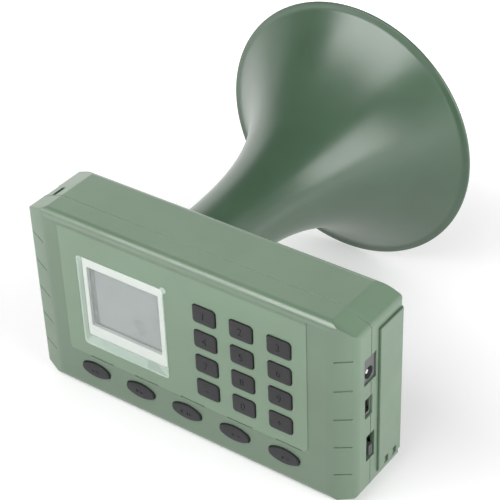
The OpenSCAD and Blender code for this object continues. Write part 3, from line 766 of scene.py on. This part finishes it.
def add_camera():
    side = CAMERA_VIEW.cross(CAMERA_UP).normalized()
    up = side.cross(CAMERA_VIEW)
    camera = bpy.data.objects.new("camera", bpy.data.cameras.new("camera"))
    turn = Matrix((side, up, -CAMERA_VIEW)).transposed().to_4x4()
    camera.matrix_world = Matrix.Translation(CAMERA_AT) @ turn
    camera.data.lens = CAMERA_LENS
    camera.data.sensor_width = SENSOR_WIDTH
    camera.data.clip_start = 0.01
    SCENE.collection.objects.link(camera)
    SCENE.camera = camera


add_camera()


# ---------------------------------------------------------------- floor, softboxes and surroundings

LIGHTS_AIM = Vector((0, 0.05, 0.05))
FLOOR_REACH = 8
FLOOR_GAP = 0.5 * MM
FRONT_EDGE_IN = 1.5 * MM
PAPER = (0.62, 0.62, 0.62)
BACKDROP_AZIMUTH = -12
BACKDROP_LIGHT = 1.5
HORIZON_LIGHT = 0.9
ROOM_LIGHT = 0.15
# name, azimuth and elevation in degrees, distance and (width, height) in metres, power in watts
SOFTBOXES = (
    ("front_softbox", -168, 49, 1.0, (1.10, 0.52), 11),
    ("side_softbox", 92, 26, 1.0, (0.70, 0.70), 6),
    ("low_fill", -140, 8, 0.6, (0.25, 0.25), 0.3),
)


def compass(azimuth, elevation, distance, about):
    """A point seen from about: azimuth in degrees from +Y towards +X."""
    a, e = math.radians(azimuth), math.radians(elevation)
    return about + distance * Vector((math.sin(a) * math.cos(e), math.cos(a) * math.cos(e), math.sin(e)))


def softbox(name, azimuth, elevation, distance, size, power):
    """A rectangular area light that faces the caller."""
    at = compass(azimuth, elevation, distance, LIGHTS_AIM)
    light = bpy.data.lights.new(name, "AREA")
    light.shape = "RECTANGLE"
    light.size, light.size_y = size
    light.energy = power
    lamp = bpy.data.objects.new(name, light)
    lamp.location = at
    lamp.rotation_euler = (LIGHTS_AIM - at).to_track_quat("-Z", "Y").to_euler()
    SCENE.collection.objects.link(lamp)


def add_floor():
    """A pale floor that touches the case's lower front edge and the horn's rim, as at rest."""
    front = Vector((0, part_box("front_cover")[0].y + FRONT_EDGE_IN, 0))
    back = Vector((0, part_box("horn_bell")[1].y, CAD_BOX[0][2]))
    slope = math.atan2(back.z - front.z, back.y - front.y)
    mesh = bpy.data.meshes.new("floor")
    corners = [(FLOOR_REACH * i, FLOOR_REACH * j, 0) for i, j in ((-1, -1), (1, -1), (1, 1), (-1, 1))]
    mesh.from_pydata(corners, [], [(0, 1, 2, 3)])
    floor = bpy.data.objects.new("floor", mesh)
    place = Matrix.Translation(front - Vector((0, 0, FLOOR_GAP)))
    floor.matrix_world = place @ Matrix.Rotation(slope, 4, "X")
    SCENE.collection.objects.link(floor)
    paper = Mat("paper", PAPER, 0.9, Emission_Color=(1, 1, 1, 1))
    paper.set("Roughness", paper.ramp(paper.noise(3, 2, 0.5), 0.85, 0.95))
    away = paper.node("ShaderNodeVectorMath", operation="LENGTH")
    paper.feed(paper.where, away.inputs[0])
    paper.set("Emission Strength", paper.ramp(away.outputs["Value"], 0.34, 0.95, 0.10, 0.60))
    mesh.materials.append(paper.mat)


def add_surroundings():
    """A white backdrop behind the horn, a pale horizon all round and a dim room above it."""
    world = bpy.data.worlds.new("studio")
    SCENE.world = world
    world.use_nodes = True
    tree = world.node_tree
    background = tree.nodes["Background"]

    def step(source, start, end, low, high):
        n = add_ramp(tree, low, high, start, end)
        tree.links.new(source, n.inputs["Value"])
        return n.outputs["Result"]

    def combine(operation, a, b):
        n = add_node(tree, "ShaderNodeMath", operation=operation)
        tree.links.new(a, n.inputs[0])
        tree.links.new(b, n.inputs[1])
        return n.outputs[0]

    look = add_node(tree, "ShaderNodeTexCoord").outputs["Generated"]
    parts = add_node(tree, "ShaderNodeSeparateXYZ")
    tree.links.new(look, parts.inputs[0])
    height = parts.outputs["Z"]
    facing = add_node(tree, "ShaderNodeVectorMath", operation="DOT_PRODUCT")
    facing.inputs[1].default_value = compass(BACKDROP_AZIMUTH, 0, 1, Vector())
    tree.links.new(look, facing.inputs[0])
    below = step(height, 0.45, 0.68, 1, 0)
    sector = step(facing.outputs["Value"], 0.30, 0.62, 0, 1)
    backdrop = step(combine("MULTIPLY", below, sector), 0, 1, ROOM_LIGHT, BACKDROP_LIGHT)
    horizon = step(height, 0.14, 0.40, HORIZON_LIGHT, ROOM_LIGHT)
    level = combine("MAXIMUM", backdrop, horizon)
    background.inputs["Color"].default_value = (1, 1, 1, 1)
    tree.links.new(level, background.inputs["Strength"])


add_floor()
add_surroundings()
for box in SOFTBOXES:
    softbox(*box)
SCENE.view_settings.view_transform = "Standard"
